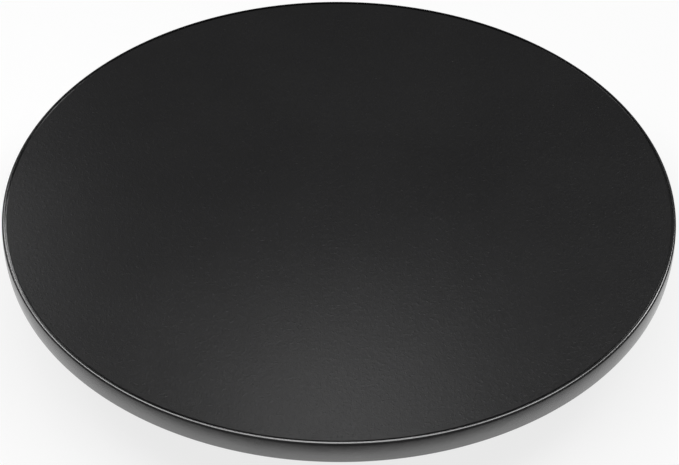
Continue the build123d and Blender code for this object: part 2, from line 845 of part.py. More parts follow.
with BuildPart() as reduction_gear:
    wheel_root_r = wheel_pitch_r - dedendum * wheel_module
    wheel_tip_r = wheel_pitch_r + wheel_addendum * wheel_module
    drive_root_r = drive_pitch_r - dedendum * ring_module
    drive_tip_r = drive_pitch_r + ring_module
    with BuildSketch(level(wheel_z)):
        with Locations((idler_x, 0)):
            add(gear_face(wheel_module, wheel_teeth, wheel_root_r, wheel_tip_r, tooth_thinning))
    extrude(amount=wheel_w)
    for face_z, inwards in ((wheel_z, 1), (wheel_top_z, -1)):
        with BuildSketch(level(face_z)):
            with Locations((idler_x, 0)):
                add(ring_face(idler_neck_r, wheel_root_r - rib_t))
        extrude(amount=inwards * (wheel_w - wheel_web_t) / 2, mode=Mode.SUBTRACT)
    with BuildSketch(level(wheel_top_z)):
        with Locations((idler_x, 0)):
            Circle(idler_neck_r)
    extrude(amount=drive_z - wheel_top_z)
    with BuildSketch(level(drive_z)):
        with Locations((idler_x, 0)):
            add(gear_face(ring_module, drive_teeth, drive_root_r, drive_tip_r, tooth_thinning))
    extrude(amount=drive_top_z - drive_z)
    with BuildSketch(level(wheel_z)):
        with Locations((idler_x, 0)):
            Circle(idler_pin_r + idler_run)
    extrude(amount=drive_top_z - wheel_z, mode=Mode.SUBTRACT)
save(reduction_gear, "reduction_gear")

# Flat geared motor: a deep-drawn can, a gear case with ears, the output shaft and its pinion
with BuildPart() as motor_can:
    with BuildSketch(level(floor_z)):
        with Locations((motor_x, 0)):
            Circle(motor_r)
    extrude(amount=motor_cup_h)
    chamfer(motor_can.edges().group_by(Axis.Z)[0], motor_edge)
save(motor_can, "motor_can")

with BuildPart() as motor_gear_case:
    with BuildSketch(level(motor_top_z)):
        with Locations((motor_x, 0)):
            SlotCenterToCenter(2 * motor_ear_reach, 2 * boss_r, rotation=90)
            Circle(motor_r)
    extrude(amount=motor_ear_t)
    with BuildSketch(level(motor_top_z + motor_ear_t)):
        with Locations((motor_x, 0)):
            Circle(motor_r - motor_case_inset)
    extrude(amount=motor_case_h - motor_ear_t)
    chamfer(motor_gear_case.edges().group_by(Axis.Z)[-1], motor_edge)
    with BuildSketch(level(case_top_z)):
        with Locations((motor_shaft_x, 0)):
            Circle(motor_boss_r)
    extrude(amount=motor_boss_h)
    with BuildSketch(level(case_top_z + motor_boss_h)):
        with Locations((motor_shaft_x, 0)):
            Circle(motor_shaft_r + spindle_run)
    extrude(amount=-motor_boss_h - motor_shaft_sunk, mode=Mode.SUBTRACT)
    with BuildSketch(level(motor_top_z)):
        with Locations((motor_x, motor_ear_reach), (motor_x, -motor_ear_reach)):
            Circle(m3[0] + clearance_gap)
    extrude(amount=motor_ear_t, mode=Mode.SUBTRACT)
save(motor_gear_case, "motor_gear_case")
save_screws(
    "motor_screws",
    Plane(origin=(motor_x, 0, motor_top_z + motor_ear_t), z_dir=(0, 0, -1)),
    [(0, motor_ear_reach), (0, -motor_ear_reach)],
    m3,
    motor_ear_t + screw_grip,
)

with BuildPart() as motor_shaft:
    with BuildSketch(level(case_top_z + motor_boss_h - motor_shaft_sunk)):
        with Locations((motor_shaft_x, 0)):
            Circle(motor_shaft_r)
    extrude(amount=wheel_top_z - case_top_z - motor_boss_h + motor_shaft_sunk)
save(motor_shaft, "motor_shaft")

with BuildPart() as motor_pinion:
    pinion_root_r = motor_pitch_r - dedendum * wheel_module
    pinion_tip_r = motor_pitch_r + wheel_module
    pinion = gear_face(
        wheel_module, motor_teeth, pinion_root_r, pinion_tip_r, tooth_thinning, 180 / motor_teeth
    )
    with BuildSketch(level(wheel_z - tooth_overlap)):
        with Locations((motor_shaft_x, 0)):
            add(pinion)
            Circle(motor_shaft_r + press_gap, mode=Mode.SUBTRACT)
    extrude(amount=wheel_w + tooth_overlap)
save(motor_pinion, "motor_pinion")

with BuildPart() as motor_wire_cover:
    cover_d, cover_w, cover_h = wire_cover
    with BuildSketch(level(floor_z + nest_h)):
        with Locations((motor_x, 0)):
            with Locations((motor_r, 0)):
                Rectangle(cover_w, cover_d, align=(Align.MIN, Align.CENTER))
    extrude(amount=cover_h)
save(motor_wire_cover, "motor_wire_cover")

# Control panel: a plate over the tray's window that holds the controls
with BuildPart() as control_panel:
    with BuildSketch(upright(flat_y)):
        with Locations((0, control_z)):
            RectangleRounded(panel_w, panel_h, panel_edge_r)
    extrude(amount=-panel_t)
    fillet(control_panel.edges().group_by(Axis.Y)[-1], panel_t / 3)
    with BuildSketch(upright(flat_y)):
        with Locations((0, control_z)):
            with Locations(*corner_points(panel_w, panel_h, panel_screw_inset)):
                Circle(m2[0] + clearance_gap)
        with Locations((jack_x, control_z)):
            Circle(jack_barrel_r + press_gap)
        with Locations((rocker_x, control_z)):
            Rectangle(rocker_body_w + 2 * press_gap, rocker_body_h + 2 * press_gap)
        with Locations((led_x, control_z)):
            Circle(led_r + press_gap)
        with Locations((button_x, control_z)):
            Circle(button_barrel_r + press_gap)
        with Locations((knob_x, control_z)):
            Circle(pot_bush_r + press_gap)
    extrude(amount=-panel_t, mode=Mode.SUBTRACT)
save(control_panel, "control_panel")
save_screws(
    "panel_screws",
    upright(panel_y),
    [(x, control_z + z) for x, z in corner_points(panel_w, panel_h, panel_screw_inset)],
    m2,
    panel_t + flat_wall + panel_boss_h / 2,
)

# DC inlet: flanged barrel with a round socket, its contact pin and the nut behind the panel
with BuildPart() as dc_jack:
    with BuildSketch(upright(panel_y)):
        with Locations((jack_x, control_z)):
            Circle(jack_flange_r)
    extrude(amount=-jack_flange_t)
    chamfer(dc_jack.edges().group_by(Axis.Y)[-1], jack_flange_t / 3)
    with BuildSketch(upright(panel_y)):
        with Locations((jack_x, control_z)):
            Circle(jack_barrel_r)
    extrude(amount=jack_depth)
    with BuildSketch(upright(panel_y + jack_flange_t)):
        with Locations((jack_x, control_z)):
            Circle(jack_bore_r)
    extrude(amount=jack_bore_depth, mode=Mode.SUBTRACT)
    with BuildSketch(upright(panel_y + jack_flange_t - jack_bore_depth)):
        with Locations((jack_x, control_z)):
            Circle(jack_pin_r + press_gap)
    extrude(amount=jack_flange_t, mode=Mode.SUBTRACT)
save(dc_jack, "dc_jack")

with BuildPart() as jack_pin:
    with BuildSketch(upright(panel_y)):
        with Locations((jack_x, control_z)):
            Circle(jack_pin_r)
    extrude(amount=jack_bore_depth)
    chamfer(jack_pin.edges().group_by(Axis.Y)[-1], jack_pin_r / 2)
save(jack_pin, "jack_pin")

with BuildPart() as jack_nut:
    with BuildSketch(upright(flat_y)):
        with Locations((jack_x, control_z)):
            RegularPolygon(jack_nut_r, 6)
            Circle(jack_barrel_r + press_gap, mode=Mode.SUBTRACT)
    extrude(amount=jack_nut_t)
save(jack_nut, "jack_nut")

# Power switch: a housing with a bezel, and the rocker tilted to off
rocker_axis_y = panel_y + rocker_bezel_t / 2
with BuildPart() as switch_housing:
    with BuildSketch(upright(panel_y)):
        with Locations((rocker_x, control_z)):
            RectangleRounded(rocker_w, rocker_h, rocker_bezel_t / 2)
    extrude(amount=-rocker_bezel_t)
    chamfer(switch_housing.edges().group_by(Axis.Y)[-1], rocker_bezel_t / 3)
    with BuildSketch(upright(panel_y)):
        with Locations((rocker_x, control_z)):
            Rectangle(rocker_body_w, rocker_body_h)
    extrude(amount=rocker_depth)
    with BuildSketch(upright(panel_y + rocker_bezel_t)):
        with Locations((rocker_x, control_z)):
            Rectangle(2 * rocker_slot, rocker_t + 2 * rocker_side_gap)
    extrude(amount=rocker_bezel_t + rocker_depth / 2, mode=Mode.SUBTRACT)
    with BuildSketch(level(control_z)):
        with Locations((rocker_x, rocker_axis_y)):
            Circle(rocker_pin_r + spindle_run)
    extrude(amount=rocker_t / 2 + rocker_pin_reach + fit_gap, both=True, mode=Mode.SUBTRACT)
save(switch_housing, "switch_housing")

with BuildPart() as power_rocker:
    rocker_place = Plane(origin=(rocker_x, rocker_axis_y, control_z)).rotated((0, 0, -rocker_tilt))
    with BuildSketch(rocker_place):
        with BuildLine():
            Polyline(
                (-rocker_half, rocker_wing),
                (-rocker_half, 0),
                (-rocker_pin_r, -rocker_wing),
                (rocker_pin_r, -rocker_wing),
                (rocker_half, 0),
                (rocker_half, rocker_wing),
            )
            ThreePointArc((rocker_half, rocker_wing), (0, rocker_hollow), (-rocker_half, rocker_wing))
        make_face()
    extrude(amount=rocker_t / 2, both=True)
    with BuildSketch(rocker_place):
        Circle(rocker_pin_r)
    extrude(amount=rocker_t / 2 + rocker_pin_reach, both=True)
save(power_rocker, "power_rocker")

# Indicator light between the switches
with BuildPart() as led_indicator:
    with BuildSketch(upright(flat_y)):
        with Locations((led_x, control_z)):
            Circle(led_r)
    extrude(amount=-panel_t - led_dome)
    fillet(led_indicator.edges().group_by(Axis.Y)[-1], led_dome_r)
    with BuildSketch(upright(flat_y)):
        with Locations((led_x, control_z)):
            Circle(led_flange_r)
    extrude(amount=led_body)
save(led_indicator, "led_indicator")

# Direction button: a bezelled housing and its cap, which travels inwards
with BuildPart() as button_housing:
    with BuildSketch(upright(panel_y)):
        with Locations((button_x, control_z)):
            Circle(button_bezel_r)
    extrude(amount=-button_bezel_t)
    chamfer(button_housing.edges().group_by(Axis.Y)[-1], button_bezel_t / 3)
    with BuildSketch(upright(panel_y)):
        with Locations((button_x, control_z)):
            Circle(button_barrel_r)
    extrude(amount=panel_t)
    with BuildSketch(upright(flat_y)):
        with Locations((button_x, control_z)):
            Circle(button_bezel_r)
    extrude(amount=button_depth)
    with BuildSketch(upright(panel_y + button_bezel_t)):
        with Locations((button_x, control_z)):
            Circle(button_cap_r + button_run)
    extrude(amount=button_sunk + button_travel + axial_play, mode=Mode.SUBTRACT)
save(button_housing, "button_housing")

with BuildPart() as direction_button:
    with BuildSketch(upright(panel_y + button_bezel_t + button_proud)):
        with Locations((button_x, control_z)):
            Circle(button_cap_r)
    extrude(amount=button_proud + button_sunk)
    fillet(direction_button.edges().group_by(Axis.Y)[-1], button_cap_r / 4)
save(direction_button, "direction_button")

# Speed control: potentiometer with its bushing and nut, shaft and grooved knob
with BuildPart() as speed_potentiometer:
    with BuildSketch(upright(flat_y)):
        with Locations((knob_x, control_z)):
            Circle(pot_r)
    extrude(amount=pot_depth)
    with BuildSketch(upright(flat_y)):
        with Locations((knob_x, control_z)):
            Circle(pot_bush_r)
    extrude(amount=-pot_bush_proud)
    with BuildSketch(upright(flat_y + pot_bush_proud)):
        with Locations((knob_x, control_z)):
            Circle(pot_shaft_r + pot_shaft_run)
    extrude(amount=pot_bush_proud + pot_shaft_sunk + axial_play, mode=Mode.SUBTRACT)
save(speed_potentiometer, "speed_potentiometer")

with BuildPart() as pot_nut:
    with BuildSketch(upright(panel_y)):
        with Locations((knob_x, control_z)):
            RegularPolygon(pot_nut_r, 6)
            Circle(pot_bush_r + press_gap, mode=Mode.SUBTRACT)
    extrude(amount=-pot_nut_t)
save(pot_nut, "pot_nut")

knob_y = panel_y + knob_gap
with BuildPart() as pot_shaft:
    with BuildSketch(upright(knob_y + knob_socket)):
        with Locations((knob_x, control_z)):
            Circle(pot_shaft_r)
    extrude(amount=knob_y + knob_socket - flat_y + pot_shaft_sunk)
save(pot_shaft, "pot_shaft")

with BuildPart() as speed_knob:
    with BuildSketch(upright(knob_y)):
        with Locations((knob_x, control_z)):
            Circle(knob_r)
            with PolarLocations(knob_r, knob_grooves, start_angle=90 + 180 / knob_grooves):
                Circle(knob_groove_r, mode=Mode.SUBTRACT)
    extrude(amount=-knob_h)
    with BuildSketch(upright(knob_y + knob_h)):
        with Locations((knob_x, control_z)):
            Circle(knob_r - knob_groove_r - fit_gap)
    extrude(amount=-knob_edge_r, taper=45)
    with BuildSketch(upright(knob_y + knob_h + knob_edge_r)):
        with Locations((knob_x, control_z + knob_r / 2)):
            Rectangle(knob_mark_w, knob_r)
    extrude(amount=knob_edge_r / 2, mode=Mode.SUBTRACT)
    with BuildSketch(upright(knob_y)):
        with Locations((knob_x, control_z)):
            Circle(pot_shaft_r + press_gap)
    extrude(amount=-knob_socket, mode=Mode.SUBTRACT)
save(speed_knob, "speed_knob")

# Control board on the tray's standoffs, with its screws, chips, capacitors and sockets
with BuildPart() as control_board:
    with BuildSketch(level(board_z)):
        with Locations((0, board_y)):
            Rectangle(board_w, board_d)
            with Locations(*corner_points(board_w, board_d, board_hole_inset)):
                Circle(m2[0] + clearance_gap, mode=Mode.SUBTRACT)
    extrude(amount=board_t)
save(control_board, "control_board")
save_screws(
    "board_screws",
    Plane(origin=(0, board_y, board_top_z), z_dir=(0, 0, -1)),
    corner_points(board_w, board_d, board_hole_inset),
    m2,
    board_t + board_up,
)

with BuildPart() as microcontroller:
    chip_w, chip_d, chip_h = chip
    leg_len, leg_wid, leg_h = chip_leg
    with BuildSketch(level(board_top_z)):
        with Locations((chip_x, board_y)):
            with GridLocations(chip_w + leg_len / 2, chip_d / chip_legs, 2, chip_legs):
                Rectangle(leg_len, leg_wid)
    extrude(amount=leg_h)
    with BuildSketch(level(board_top_z)):
        with Locations((chip_x, board_y)):
            Rectangle(chip_w, chip_d)
    extrude(amount=chip_h)
save(microcontroller, "microcontroller")

with BuildPart() as motor_driver:
    driver_w, driver_d, driver_h = driver
    with BuildSketch(level(board_top_z)):
        with Locations((driver_x, board_y)):
            Rectangle(driver_w, driver_d)
    extrude(amount=driver_h)
    with BuildSketch(level(board_top_z + driver_h)):
        with Locations((driver_x, board_y)):
            with GridLocations((driver_w - sink_fin_t) / (sink_fins - 1), 0, sink_fins, 1):
                Rectangle(sink_fin_t, driver_d)
    extrude(amount=sink_h)
save(motor_driver, "motor_driver")

with BuildPart() as capacitors:
    with BuildSketch(level(board_top_z)):
        with Locations((capacitor_x, board_y)):
            with GridLocations(0, capacitor_pitch, 1, 2):
                Circle(capacitor_r)
    extrude(amount=capacitor_h)
    chamfer(capacitors.edges().group_by(Axis.Z)[-1], capacitor_edge)
save(capacitors, "capacitors")

with BuildPart() as board_sockets:
    socket_w, socket_d, socket_h = socket
    with BuildSketch(level(board_top_z)):
        with Locations(*sockets):
            Rectangle(socket_w, socket_d)
    extrude(amount=socket_h)
    with BuildSketch(level(plug_z)):
        with Locations(*sockets):
            Rectangle(socket_w - 2 * socket_wall, socket_d - 2 * socket_wall)
    extrude(amount=socket_h - socket_wall, mode=Mode.SUBTRACT)
save(board_sockets, "board_sockets")

# Plugs in the sockets, and the leads that run from them to the motor, the inlet and the controls
with BuildPart() as lead_plugs:
    plug_w = socket_w - 2 * socket_wall - 2 * fit_gap
    plug_d = socket_d - 2 * socket_wall - 2 * fit_gap
    with BuildSketch(level(plug_z)):
        with Locations(*sockets):
            Rectangle(plug_w, plug_d)
    extrude(amount=plug_top_z - plug_z)
save(lead_plugs, "lead_plugs")

cover_mid_x = motor_x + motor_r + wire_cover[1] / 2
motor_socket_y = board_y - socket_y
motor_paths = [
    [
        (cover_mid_x - side, wire_cover[0] / 2, motor_lead_z),
        (cover_mid_x - side, motor_socket_y + side, motor_lead_z),
        (jack_x - socket_w, motor_socket_y + side, motor_lead_z),
        (jack_x - socket_w / 2, motor_socket_y + side, lead_top_z),
        (jack_x, motor_socket_y + side, lead_top_z),
        (jack_x, motor_socket_y + side, plug_top_z),
    ]
    for side in (-lead_half, lead_half)
]
save_leads("motor_leads", motor_paths)

jack_back_y = panel_y - jack_depth
power_paths = [
    [
        (jack_x + side, jack_back_y, control_z),
        (jack_x + side, jack_back_y - socket_d, control_z),
        (jack_x + side, board_y + socket_y + socket_d, lead_top_z),
        (jack_x + side, board_y + socket_y, lead_top_z),
        (jack_x + side, board_y + socket_y, plug_top_z),
    ]
    for side in (-lead_half, lead_half)
]
save_leads("power_leads", power_paths)

front_y = board_y + front_socket_y
control_lead_z = control_z - control_lead_down
control_ends = (
    (rocker_x, control_back_y),
    (led_x, flat_y - led_body),
    (button_x, control_back_y),
    (knob_x, flat_y - pot_depth),
)
control_paths = []
for place, (x, back_y) in enumerate(control_ends):
    plug_x = (place - (len(control_ends) - 1) / 2) * plug_w / len(control_ends)
    control_paths.append(
        [
            (x, back_y, control_lead_z),
            (x, roller_circle_r - pin_len / 2 - lead_bend_r, control_lead_z),
            (plug_x, front_y + socket_d / 2 + lead_bend_r, lead_top_z),
            (plug_x, front_y, lead_top_z),
            (plug_x, front_y, plug_top_z),
        ]
    )
save_leads("control_leads", control_paths)
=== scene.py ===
import json
import math

import bmesh
import bpy
from mathutils import Matrix, Vector


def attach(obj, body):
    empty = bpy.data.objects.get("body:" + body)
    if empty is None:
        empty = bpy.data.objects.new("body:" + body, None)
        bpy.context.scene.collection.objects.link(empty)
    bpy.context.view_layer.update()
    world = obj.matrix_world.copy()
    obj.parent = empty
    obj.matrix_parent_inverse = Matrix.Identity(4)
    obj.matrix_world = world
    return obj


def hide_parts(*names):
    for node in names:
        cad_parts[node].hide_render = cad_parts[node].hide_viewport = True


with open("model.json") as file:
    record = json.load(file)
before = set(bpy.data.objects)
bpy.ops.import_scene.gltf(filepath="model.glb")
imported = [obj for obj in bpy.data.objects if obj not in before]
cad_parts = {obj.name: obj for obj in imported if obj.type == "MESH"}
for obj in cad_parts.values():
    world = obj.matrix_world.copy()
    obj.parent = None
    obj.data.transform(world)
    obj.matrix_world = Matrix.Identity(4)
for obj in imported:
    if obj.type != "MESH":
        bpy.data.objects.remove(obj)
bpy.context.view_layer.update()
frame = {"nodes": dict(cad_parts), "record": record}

MM = 0.001

# The platter and its moulded rim
PLATTER_R = 175 * MM
TOP_Z = 45.6 * MM
RECESS_Z = 44.2 * MM
RIM_Z = 32 * MM
RIM_INNER_R = 172.2 * MM
RIM_CORNER_R = 1.2 * MM
RIM_CROWN_R = 48 * MM
RIM_LEAN = math.radians(4)
RIM_EDGE = 0.8 * MM
LIP_W = 0.2 * MM

# The controls, and what is printed on them
PANEL_Y = 123.5 * MM
CONTROL_Z = 15.5 * MM
KNOB_X = 27 * MM
KNOB_FACE_Y = 136.4 * MM
ROCKER_X = -12.5 * MM
JACK_X = -29 * MM
SCALE_STEP = math.radians(30)
SCALE_END = math.radians(155)
TICK_INNER_R = 7.95 * MM
TICK_OUTER_R = 8.75 * MM
TICK_HALF_W = 0.22 * MM
POINTER_HALF_W = 0.5 * MM
MARK_OFFSET = 3.3 * MM
OFF_RING_INNER_R = 0.85 * MM
OFF_RING_OUTER_R = 1.2 * MM
ON_BAR_HALF_W = 0.2 * MM
ON_BAR_HALF_H = 1.2 * MM
PRINT_DEPTH = 0.2 * MM
PRINT = (0.62, 0.62, 0.60)

MOTOR_X = -90.5 * MM
RED_STRIP_W = 3 * MM


class Look:
    """A node material being built around one Principled shader."""

    def __init__(self, name, metallic=0.0, ior=1.5):
        self.material = bpy.data.materials.new(name)
        self.material.use_nodes = True
        self.tree = self.material.node_tree
        self.shader = self.tree.nodes["Principled BSDF"]
        self.shader.inputs["Metallic"].default_value = metallic
        self.shader.inputs["IOR"].default_value = ior
        self.place = self.tree.nodes.new("ShaderNodeTexCoord").outputs["Object"]

    def feed(self, socket, value):
        if isinstance(value, bpy.types.NodeSocket):
            self.tree.links.new(value, socket)
        elif isinstance(value, tuple) and socket.type == "RGBA":
            socket.default_value = (*value, 1.0)
        else:
            socket.default_value = value

    def set(self, **inputs):
        for name, value in inputs.items():
            self.feed(self.shader.inputs[name.replace("_", " ")], value)

    def fed_to(self, name):
        """What is linked to one of the shader's sockets."""
        return self.shader.inputs[name].links[0].from_socket

    def math(self, operation, *values):
        node = self.tree.nodes.new("ShaderNodeMath")
        node.operation = operation
        for socket, value in zip(node.inputs, values):
            self.feed(socket, value)
        return node.outputs[0]

    def times(self, a, b):
        return self.math("MULTIPLY", a, b)

    def above(self, value, limit):
        return self.math("GREATER_THAN", value, limit)

    def below(self, value, limit):
        return self.math("LESS_THAN", value, limit)

    def between(self, value, low, high):
        return self.times(self.above(value, low), self.below(value, high))

    def length(self, a, b):
        return self.math("SQRT", self.math("ADD", self.times(a, a), self.times(b, b)))

    def span(self, value, low, high, start=0.0, end=1.0):
        """value from low to high, made into start to end and held there outside it."""
        node = self.tree.nodes.new("ShaderNodeMapRange")
        for socket, number in zip(node.inputs, (value, low, high, start, end)):
            self.feed(socket, number)
        return node.outputs[0]

    def mix(self, factor, a, b):
        node = self.tree.nodes.new("ShaderNodeMix")
        node.data_type = "RGBA"
        colours = [s for s in node.inputs if s.type == "RGBA"]
        self.feed(node.inputs[0], factor)
        self.feed(colours[0], a)
        self.feed(colours[1], b)
        return [s for s in node.outputs if s.type == "RGBA"][0]

    def scaled(self, x, y, z, where=None):
        node = self.tree.nodes.new("ShaderNodeMapping")
        self.feed(node.inputs["Vector"], where or self.place)
        node.inputs["Scale"].default_value = (x, y, z)
        return node.outputs[0]

    def parts(self, where=None):
        node = self.tree.nodes.new("ShaderNodeSeparateXYZ")
        self.feed(node.inputs[0], where or self.place)
        return node.outputs

    def polar(self, x=0.0, y=0.0):
        """(radius, angle / pi, height) about an upright axis at x, y, as one vector."""
        across, along, height = self.parts()
        across = self.math("SUBTRACT", across, x)
        along = self.math("SUBTRACT", along, y)
        turn = self.math("DIVIDE", self.math("ARCTAN2", along, across), math.pi)
        joined = self.tree.nodes.new("ShaderNodeCombineXYZ")
        self.feed(joined.inputs[0], self.length(across, along))
        self.feed(joined.inputs[1], turn)
        self.feed(joined.inputs[2], height)
        return joined.outputs[0]

    def dial(self, x, z):
        """(radius, angle from straight up) about a point of the control panel's face."""
        across, _, height = self.parts()
        across = self.math("SUBTRACT", across, x)
        height = self.math("SUBTRACT", height, z)
        return self.length(across, height), self.math("ARCTAN2", across, height)

    def noise(self, scale, detail=3.0, rough=0.55, where=None):
        node = self.tree.nodes.new("ShaderNodeTexNoise")
        self.feed(node.inputs["Vector"], where or self.place)
        node.inputs["Scale"].default_value = scale
        node.inputs["Detail"].default_value = detail
        node.inputs["Roughness"].default_value = rough
        return node.outputs["Fac"]

    def lines(self, scale, rough=0.7, where=None, detail=3.0):
        """Noise drawn out along the axes whose scale is small."""
        return self.noise(1.0, detail, rough, self.scaled(*scale, where))

    def cells(self, scale):
        node = self.tree.nodes.new("ShaderNodeTexVoronoi")
        self.feed(node.inputs["Vector"], self.place)
        node.inputs["Scale"].default_value = scale
        return node.outputs["Distance"]

    def specks(self, scale, size, rarity):
        """1 in round specks of about size, kept where a coarser noise is above rarity."""
        near = self.below(self.cells(scale), size)
        patches = self.noise(scale * 0.31, detail=1.0)
        return self.times(near, self.above(patches, rarity))

    def facing_up(self):
        """1 on what faces up, 0 on what faces sideways or down."""
        node = self.tree.nodes.new("ShaderNodeNewGeometry")
        return self.span(self.parts(node.outputs["Normal"])[2], 0.2, 0.95)

    def outer_face(self, y):
        """1 on what lies further out than y, on the controls' side."""
        return self.above(self.parts()[1], y)

    def print_over(self, mask, rough):
        """Print where the mask is 1, slightly worn away."""
        base = self.fed_to("Base Color")
        under = self.fed_to("Roughness")
        wear = self.span(self.noise(2500), 0.30, 0.42, start=0.55, end=1.0)
        kept = self.times(mask, wear)
        bare = self.math("SUBTRACT", 1.0, kept)
        self.set(Base_Color=self.mix(kept, base, PRINT),
                 Roughness=self.math("ADD", self.times(under, bare), self.times(kept, rough)))

    def bump(self, height, depth, strength=1.0, under=None):
        """A bump of depth metres. It feeds the shader and is returned for a finer one to lie on."""
        node = self.tree.nodes.new("ShaderNodeBump")
        self.feed(node.inputs["Height"], height)
        node.inputs["Distance"].default_value = depth
        node.inputs["Strength"].default_value = strength
        if under:
            self.feed(node.inputs["Normal"], under)
        self.feed(self.shader.inputs["Normal"], node.outputs[0])
        return node.outputs[0]


def mat_look(look):
    """The mat's satin top: a fine pebbled grain, faint clouds and a few specks of dust."""
    fine = look.noise(2600, detail=2.0, rough=0.6)
    pebble = look.noise(760, rough=0.7)
    mottle = look.noise(330, detail=4.0, rough=0.75)
    cloud = look.noise(9, detail=4.0, rough=0.6)
    nib = look.span(look.noise(620, detail=1.0), 0.58, 0.80)
    dust = look.specks(420, size=0.12, rarity=0.72)
    colour = look.mix(look.span(cloud, 0.35, 0.65),
                      (0.0068, 0.0067, 0.0069), (0.0086, 0.0085, 0.0087))
    colour = look.mix(look.span(fine, 0.45, 0.72), colour, (0.016, 0.016, 0.017))
    colour = look.mix(dust, colour, (0.05, 0.05, 0.048))
    look.set(Base_Color=colour,
             Roughness=look.math("ADD", look.span(cloud, 0.3, 0.7, start=0.36, end=0.40),
                                 look.span(pebble, 0.35, 0.65, start=-0.03, end=0.03)))
    look.shader.inputs["Specular IOR Level"].default_value = 0.35
    mottled = look.bump(mottle, 0.18 * MM, strength=0.8)
    nibbed = look.bump(nib, 0.10 * MM, strength=0.8, under=mottled)
    pebbled = look.bump(pebble, 0.12 * MM, strength=0.8, under=nibbed)
    look.bump(fine, 0.08 * MM, strength=0.6, under=pebbled)


def shell_look(look):
    """The platter's glossy shell: flow waves, fine peel, hairline scratches, smears and dust."""
    peel = look.noise(330, detail=2.0)
    wave = look.noise(38, detail=2.0)
    hairs = look.above(look.lines((9000, 5, 9000), where=look.polar()), 0.71)
    smear = look.noise(30, detail=4.0, rough=0.65)
    dust = look.times(look.specks(700, size=0.10, rarity=0.62), look.facing_up())
    colour = look.mix(look.span(smear, 0.4, 0.7),
                      (0.0070, 0.0070, 0.0075), (0.0100, 0.0100, 0.0105))
    colour = look.mix(look.times(hairs, 0.4), colour, (0.06, 0.06, 0.06))
    look.set(Base_Color=look.mix(dust, colour, (0.12, 0.12, 0.12)),
             Roughness=look.math("ADD", look.span(smear, 0.35, 0.7, start=0.20, end=0.28),
                                 look.times(hairs, 0.15)))
    flowed = look.bump(wave, 0.6 * MM, strength=0.35)
    look.bump(peel, 0.10 * MM, strength=0.45, under=flowed)


def moulded(look, dark, pale, rough, grain=1800, depth=0.05 * MM, dusty=0.0):
    """Moulded plastic: fine spark texture, faint flow clouds, scuffs, and dust on what faces up."""
    cloud = look.noise(22)
    scuff = look.above(look.lines((900, 120, 400), rough=0.75, detail=4.0), 0.70)
    scuffed = tuple(min(1.0, channel * 1.7 + 0.02) for channel in pale)
    colour = look.mix(look.span(cloud, 0.35, 0.65), dark, pale)
    colour = look.mix(look.times(scuff, 0.25), colour, scuffed)
    if dusty:
        film = look.span(look.noise(260, detail=5.0, rough=0.7), 0.5, 0.75)
        settled = look.times(film, look.facing_up())
        colour = look.mix(look.times(settled, dusty), colour, (0.30, 0.29, 0.27))
    look.set(Base_Color=colour,
             Roughness=look.span(cloud, 0.3, 0.7, start=rough - 0.04, end=rough + 0.05))
    look.bump(look.noise(grain, detail=2.0, rough=0.6), depth, strength=0.6)


def gear_look(look):
    """The gears' ivory plastic, smeared with grease."""
    moulded(look, (0.66, 0.63, 0.55), (0.76, 0.73, 0.65), 0.42, grain=900, depth=0.03 * MM)
    smear = look.noise(140, detail=5.0, rough=0.7, where=look.scaled(1, 1, 2.5))
    greased = look.span(smear, 0.52, 0.66)
    colour = look.fed_to("Base Color")
    look.set(Base_Color=look.mix(look.times(greased, 0.55), colour, (0.46, 0.42, 0.28)),
             Roughness=look.span(greased, 0.0, 1.0, start=0.45, end=0.22))


def ground_steel(look):
    """Steel with the fine rings that grinding on a turning table leaves."""
    rings = look.lines((5200, 3, 5200), where=look.polar())
    stain = look.noise(60, detail=4.0)
    colour = look.mix(look.span(stain, 0.4, 0.7), (0.56, 0.56, 0.57), (0.44, 0.43, 0.42))
    look.set(Base_Color=look.mix(look.span(rings, 0.35, 0.75), colour, (0.66, 0.66, 0.67)),
             Roughness=look.span(rings, 0.3, 0.7, start=0.22, end=0.36))
    look.bump(rings, 0.02 * MM, strength=0.5)


def black_zinc(look):
    """Black-plated screws, rubbed bright on top."""
    stain = look.noise(420, detail=4.0, rough=0.65)
    rub = look.times(look.span(look.noise(1500), 0.55, 0.75), look.facing_up())
    colour = look.mix(look.span(stain, 0.35, 0.65), (0.035, 0.035, 0.040), (0.075, 0.072, 0.080))
    look.set(Base_Color=look.mix(look.times(rub, 0.5), colour, (0.30, 0.30, 0.30)),
             Roughness=look.span(stain, 0.3, 0.7, start=0.30, end=0.45))
    look.bump(stain, 0.03 * MM, strength=0.5)


def porous_bronze(look):
    """Sintered bronze: dark pores, and patches wet with oil."""
    pores = look.span(look.cells(2600), 0.0, 0.35)
    oil = look.noise(170, detail=4.0)
    colour = look.mix(look.span(oil, 0.4, 0.65), (0.52, 0.32, 0.13), (0.30, 0.17, 0.07))
    look.set(Base_Color=look.mix(pores, (0.12, 0.07, 0.03), colour),
             Roughness=look.span(oil, 0.35, 0.65, start=0.42, end=0.25))
    look.bump(pores, 0.05 * MM, strength=0.6)


def turned_metal(look, bright, dull, x, y=0.0):
    """Metal turned about an upright axis at x, y, with patches of tarnish."""
    rings = look.lines((7000, 2, 7000), where=look.polar(x, y))
    tarnish = look.noise(240, detail=4.0)
    look.set(Base_Color=look.mix(look.span(tarnish, 0.45, 0.7), bright, dull),
             Roughness=look.span(rings, 0.3, 0.7, start=0.16, end=0.32))
    look.bump(rings, 0.02 * MM, strength=0.5)


def brass_look(look):
    turned_metal(look, (0.70, 0.50, 0.20), (0.46, 0.30, 0.12), MOTOR_X)


def nickel_look(look):
    turned_metal(look, (0.62, 0.60, 0.56), (0.48, 0.46, 0.42), KNOB_X, PANEL_Y)


